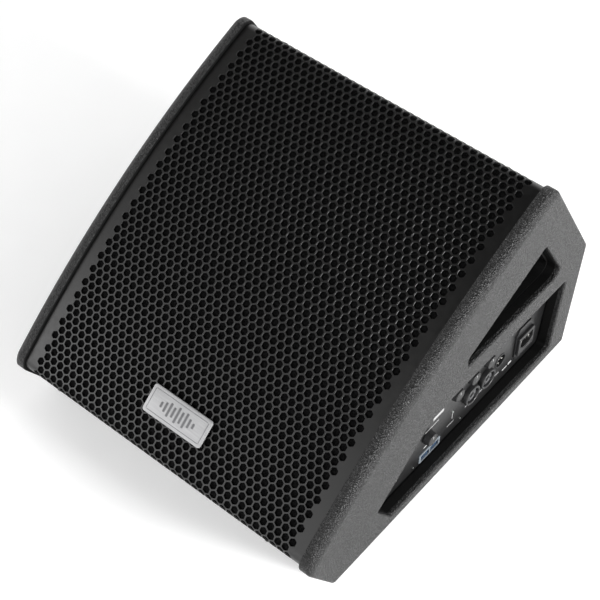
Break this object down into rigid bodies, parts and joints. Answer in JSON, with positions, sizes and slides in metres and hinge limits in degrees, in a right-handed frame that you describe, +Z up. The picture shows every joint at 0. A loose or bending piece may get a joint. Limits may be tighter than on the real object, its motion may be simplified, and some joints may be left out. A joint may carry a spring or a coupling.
{
  "type": "stage monitor wedge",
  "caption": "Active floor wedge loudspeaker: curved perforated grille between two side panels, coaxial driver, side handles and a recessed control panel.",
  "frame": {"origin": "middle of the bounding box, on the floor under the feet", "axes": "+Z up; -Y is where the grille faces; +X is the side with the control panel"},
  "size_m": [0.4, 0.451, 0.3032],
  "materials": {
    "texture_paint": "water-based textured black paint on plywood",
    "powder_coat": "satin black powder coat on perforated steel",
    "brushed_silver": "satin silver",
    "plywood": "bare board",
    "foam": "open-cell acoustic foam",
    "black_plastic": "moulded, fine texture",
    "grey_plastic": "moulded",
    "white_plastic": "moulded",
    "display_glass": "tinted window",
    "panel_metal": "fine satin black coat",
    "plated_metal": "nickel plated",
    "black_rubber": "matt",
    "paper_cone": "pressed paper",
    "cast_frame": "black coated",
    "ferrite": "plain",
    "aluminium": "extruded",
    "green_board": "glass-fibre board",
    "copper_wire": "enamelled copper",
    "led_lens": "clear lens"
  },
  "bodies": {
    "cabinet": {"side_panel_left": "texture_paint", "side_panel_right": "texture_paint", "front_panel": "texture_paint", "bottom_panel": "texture_paint", "back_panel": "texture_paint", "top_panel": "texture_paint", "grille": "powder_coat", "badge_plate": "brushed_silver", "baffle": "plywood", "baffle_cleat_front": "plywood", "baffle_cleat_top": "plywood", "grille_foam": "foam", "panel_gasket": "foam", "handle_cup_left": "black_plastic", "handle_cup_right": "black_plastic", "combo_socket_1": "black_plastic", "combo_socket_2": "black_plastic", "link_socket": "black_plastic", "mains_inlet": "black_plastic", "switch_frame": "black_plastic", "hf_horn": "black_plastic", "display_frame": "white_plastic", "display_window": "display_glass", "control_panel": "panel_metal", "grille_screw_front_left": "panel_metal", "grille_screw_front_right": "panel_metal", "grille_screw_top_left": "panel_metal", "grille_screw_top_right": "panel_metal", "link_socket_pins": "plated_metal", "inlet_pins": "plated_metal", "foot_front_left": "black_rubber", "foot_front_right": "black_rubber", "foot_back_left": "black_rubber", "foot_back_right": "black_rubber", "driver_gasket": "black_rubber", "driver_surround": "black_rubber", "driver_spider": "paper_cone", "driver_basket": "cast_frame", "driver_pole": "cast_frame", "driver_magnet": "ferrite", "hf_driver": "ferrite", "heatsink": "aluminium", "amplifier_board": "green_board", "transformer": "copper_wire", "signal_led": "led_lens", "limit_led": "led_lens", "power_led": "led_lens"},
    "cone": {"driver_cone": "paper_cone", "voice_coil": "copper_wire"},
    "encoder_stem": {"encoder_shaft": "plated_metal"},
    "encoder_cap": {"encoder_knob": "black_plastic"},
    "volume_1": {"volume_knob_1": "black_plastic", "volume_shaft_1": "plated_metal"},
    "volume_2": {"volume_knob_2": "black_plastic", "volume_shaft_2": "plated_metal"},
    "volume_3": {"volume_knob_3": "black_plastic", "volume_shaft_3": "plated_metal"},
    "ground_lift": {"ground_lift_button": "black_plastic"},
    "power_toggle": {"power_rocker": "black_plastic"},
    "fuse_tray": {"fuse_drawer": "grey_plastic"}
  },
  "joints": [
    {"name": "cone_travel", "type": "slide", "parent": "cabinet", "child": "cone", "axis": [0, -0.5285, 0.8489], "range_m": [-0.004, 0.004], "stiffness_N_per_m": 3000, "deforming": ["driver_surround", "driver_spider"]},
    {"name": "encoder_push", "type": "slide", "parent": "cabinet", "child": "encoder_stem", "axis": [1, 0, 0], "range_m": [-0.0005, 0], "stiffness_N_per_m": 60},
    {"name": "encoder_turn", "type": "hinge", "parent": "encoder_stem", "child": "encoder_cap", "pos_m": [0.1828, -0.0185, 0.0605], "axis": [1, 0, 0], "continuous": true},
    {"name": "volume_turn_1", "type": "hinge", "parent": "cabinet", "child": "volume_1", "pos_m": [0.1828, 0.0256, 0.089], "axis": [1, 0, 0], "range_deg": [-150, 150]},
    {"name": "volume_turn_2", "type": "hinge", "parent": "cabinet", "child": "volume_2", "pos_m": [0.1828, 0.0536, 0.089], "axis": [1, 0, 0], "range_deg": [-150, 150]},
    {"name": "volume_turn_3", "type": "hinge", "parent": "cabinet", "child": "volume_3", "pos_m": [0.1828, 0.0816, 0.089], "axis": [1, 0, 0], "range_deg": [-150, 150]},
    {"name": "ground_lift_press", "type": "slide", "parent": "cabinet", "child": "ground_lift", "axis": [1, 0, 0], "range_m": [-0.0015, 0], "stiffness_N_per_m": 60},
    {"name": "power_tilt", "type": "hinge", "parent": "cabinet", "child": "power_toggle", "pos_m": [0.1818, 0.146, 0.1015], "axis": [0, 1, 0], "range_deg": [-14, 0]},
    {"name": "fuse_slide", "type": "slide", "parent": "cabinet", "child": "fuse_tray", "axis": [1, 0, 0], "range_m": [0, 0.012]}
  ]
}
